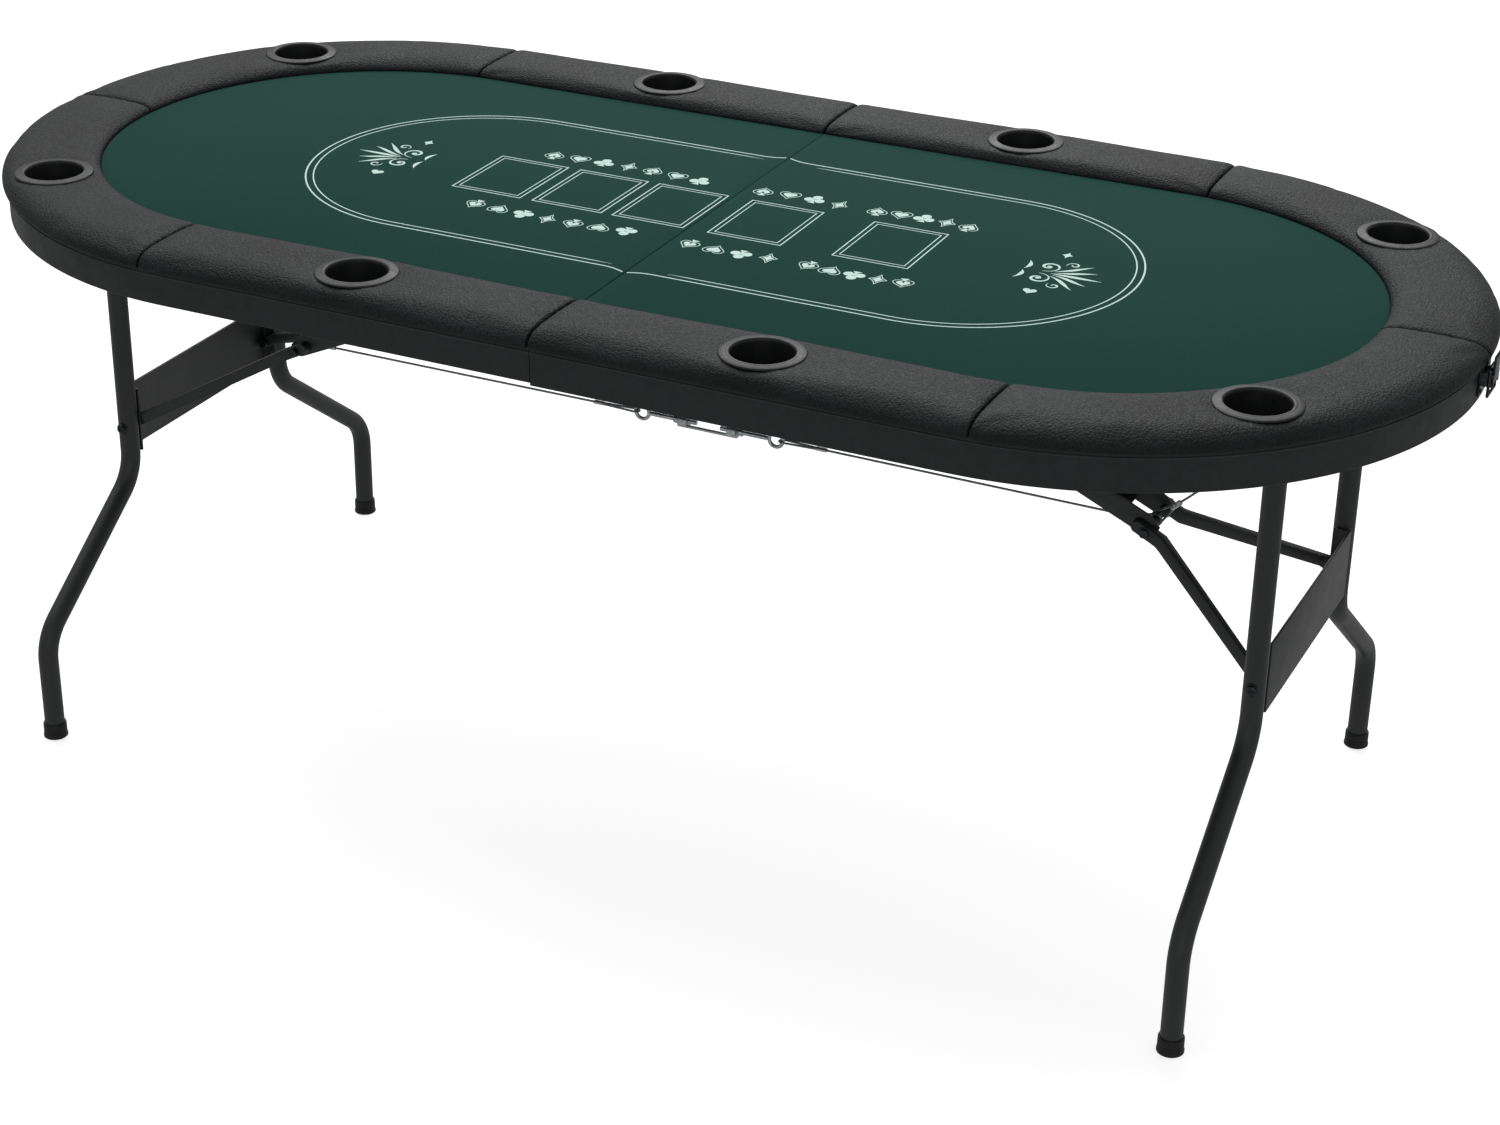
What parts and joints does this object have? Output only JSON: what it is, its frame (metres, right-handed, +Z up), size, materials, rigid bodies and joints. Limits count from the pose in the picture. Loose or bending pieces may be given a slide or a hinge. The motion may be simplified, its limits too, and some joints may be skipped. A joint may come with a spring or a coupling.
{
  "type": "folding poker table",
  "caption": "Oval folding poker table with padded rail, cup holders, printed green felt and S-bent folding legs tied by a wire-rope truss.",
  "frame": {"origin": "on the floor, under the centre of the table", "axes": "+X along the table's length, towards the latch end; +Y across it; +Z up"},
  "size_m": [1.8514, 0.88, 0.7255],
  "materials": {
    "leatherette": "pebbled black leatherette over foam",
    "felt": "dark green felt with a pale printed layout",
    "cup_plastic": "black moulded plastic",
    "board": "black-faced board",
    "apron_paint": "matte black laminate",
    "foot_rubber": "black moulded foot cap",
    "black_powder_coat": "black powder coat",
    "zinc": "zinc-plated steel"
  },
  "bodies": {
    "left_half": {"deck_left": "board", "felt_left": "felt", "apron_left_half": "apron_paint", "pad_left_front_mid": "leatherette", "pad_left_front_end": "leatherette", "pad_left_back_mid": "leatherette", "pad_left_back_end": "leatherette", "cup_left_front_mid": "cup_plastic", "cup_left_front_end": "cup_plastic", "cup_left_back_mid": "cup_plastic", "cup_left_back_end": "cup_plastic", "hinge_leaf_left": "zinc", "brackets_left": "black_powder_coat", "rope_anchor_left": "zinc", "rope_left": "zinc", "hinge_pins": "zinc", "latch_keeper": "black_powder_coat"},
    "left_leg_frame": {"leg_left_front": "black_powder_coat", "leg_left_back": "black_powder_coat", "axle_left": "black_powder_coat", "cross_plate_left": "black_powder_coat", "feet_left": "foot_rubber", "leg_bolts_left": "black_powder_coat"},
    "left_arms": {"arm_left_front": "black_powder_coat", "arm_left_back": "black_powder_coat", "knee_bolts_left": "black_powder_coat"},
    "left_link": {"link_left": "black_powder_coat"},
    "right_half": {"deck_right": "board", "felt_right": "felt", "apron_right_half": "apron_paint", "pad_right_front_mid": "leatherette", "pad_right_front_end": "leatherette", "pad_right_back_mid": "leatherette", "pad_right_back_end": "leatherette", "cup_right_front_mid": "cup_plastic", "cup_right_front_end": "cup_plastic", "cup_right_back_mid": "cup_plastic", "cup_right_back_end": "cup_plastic", "hinge_leaf_right": "zinc", "brackets_right": "black_powder_coat", "rope_anchor_right": "zinc", "rope_right": "zinc", "latch_base": "black_powder_coat"},
    "right_leg_frame": {"leg_right_front": "black_powder_coat", "leg_right_back": "black_powder_coat", "axle_right": "black_powder_coat", "cross_plate_right": "black_powder_coat", "feet_right": "foot_rubber", "leg_bolts_right": "black_powder_coat"},
    "right_arms": {"arm_right_front": "black_powder_coat", "arm_right_back": "black_powder_coat", "knee_bolts_right": "black_powder_coat"},
    "right_link": {"link_right": "black_powder_coat"},
    "turnbuckle_left_end": {"turnbuckle_eye_left": "zinc"},
    "turnbuckle_right_end": {"turnbuckle_eye_right": "zinc"},
    "turnbuckle": {"turnbuckle_body": "zinc"},
    "latch_handle": {"latch_lever": "black_powder_coat"},
    "latch_loop": {"latch_bail": "black_powder_coat"}
  },
  "joints": [
    {"name": "table_fold", "type": "hinge", "parent": "left_half", "child": "right_half", "pos_m": [0, 0, 0.653], "axis": [0, 1, 0], "range_deg": [0, 90], "deforming": ["rope_left", "rope_right"]},
    {"name": "turnbuckle_left_swing", "type": "hinge", "parent": "left_half", "child": "turnbuckle_left_end", "pos_m": [0, 0, 0.653], "axis": [0, 1, 0], "range_deg": [0, 45], "deforming": ["rope_left"]},
    {"name": "turnbuckle_right_swing", "type": "hinge", "parent": "right_half", "child": "turnbuckle_right_end", "pos_m": [0, 0, 0.653], "axis": [0, 1, 0], "range_deg": [-45, 0], "deforming": ["rope_right"]},
    {"name": "turnbuckle_turn", "type": "hinge", "parent": "turnbuckle_left_end", "child": "turnbuckle", "pos_m": [0, 0, 0.438], "axis": [1, 0, 0], "continuous": true},
    {"name": "left_leg_fold", "type": "hinge", "parent": "left_half", "child": "left_leg_frame", "pos_m": [-0.742, 0, 0.671], "axis": [0, -1, 0], "range_deg": [0, 90]},
    {"name": "left_link_swing", "type": "hinge", "parent": "left_half", "child": "left_link", "pos_m": [-0.034, 0, 0.681], "axis": [0, -1, 0], "range_deg": [-23.66, 0], "deforming": ["rope_left"]},
    {"name": "left_arm_swing", "type": "hinge", "parent": "left_leg_frame", "child": "left_arms", "pos_m": [-0.742, 0, 0.352], "axis": [0, -1, 0], "range_deg": [0, 62.06]},
    {"name": "right_leg_fold", "type": "hinge", "parent": "right_half", "child": "right_leg_frame", "pos_m": [0.742, 0, 0.671], "axis": [0, 1, 0], "range_deg": [0, 90]},
    {"name": "right_link_swing", "type": "hinge", "parent": "right_half", "child": "right_link", "pos_m": [0.034, 0, 0.681], "axis": [0, 1, 0], "range_deg": [-23.66, 0], "deforming": ["rope_right"]},
    {"name": "right_arm_swing", "type": "hinge", "parent": "right_leg_frame", "child": "right_arms", "pos_m": [0.742, 0, 0.352], "axis": [0, 1, 0], "range_deg": [0, 62.06]},
    {"name": "latch_open", "type": "hinge", "parent": "right_half", "child": "latch_handle", "pos_m": [0.918, 0, 0.684], "axis": [0, 1, 0], "range_deg": [0, 120]},
    {"name": "latch_loop_swing", "type": "hinge", "parent": "latch_handle", "child": "latch_loop", "pos_m": [0.918, 0, 0.695], "axis": [0, 1, 0], "range_deg": [-120, 0]}
  ],
  "couplings": [
    {"joint": "turnbuckle_left_swing", "follows": "table_fold", "ratio": 0.5},
    {"joint": "turnbuckle_right_swing", "follows": "table_fold", "ratio": -0.5},
    {"joint": "left_link_swing", "follows": "left_leg_fold", "ratio": -0.26277},
    {"joint": "left_arm_swing", "follows": "left_leg_fold", "ratio": 0.68945},
    {"joint": "right_link_swing", "follows": "right_leg_fold", "ratio": -0.26277},
    {"joint": "right_arm_swing", "follows": "right_leg_fold", "ratio": 0.68945},
    {"joint": "latch_loop_swing", "follows": "latch_open", "ratio": -1}
  ]
}
